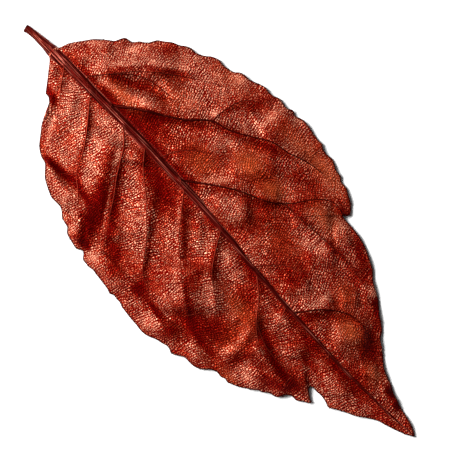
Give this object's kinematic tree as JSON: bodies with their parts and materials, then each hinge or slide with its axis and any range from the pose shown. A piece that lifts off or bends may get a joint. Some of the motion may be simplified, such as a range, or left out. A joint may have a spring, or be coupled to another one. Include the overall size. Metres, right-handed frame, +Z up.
{
  "type": "dried leaf",
  "caption": "Dried broad leaf with a pointed tip, toothed margins, raised midrib and side veins, two small margin tears and a short cut stalk, arched and lying vein side up.",
  "frame": {"origin": "on the surface the leaf lies on, under the middle of its bounding box", "axes": "+X along the midrib from the cut end of the stalk to the tip, +Y to the left of that, +Z up from the surface out of the veined side"},
  "size_m": [0.12, 0.0556, 0.0075],
  "materials": {
    "dried_leaf_skin": "Dry red-brown leaf skin, finely wrinkled like leather, with a soft sheen"
  },
  "bodies": {
    "root": {"leaf": "dried_leaf_skin"}
  },
  "joints": []
}
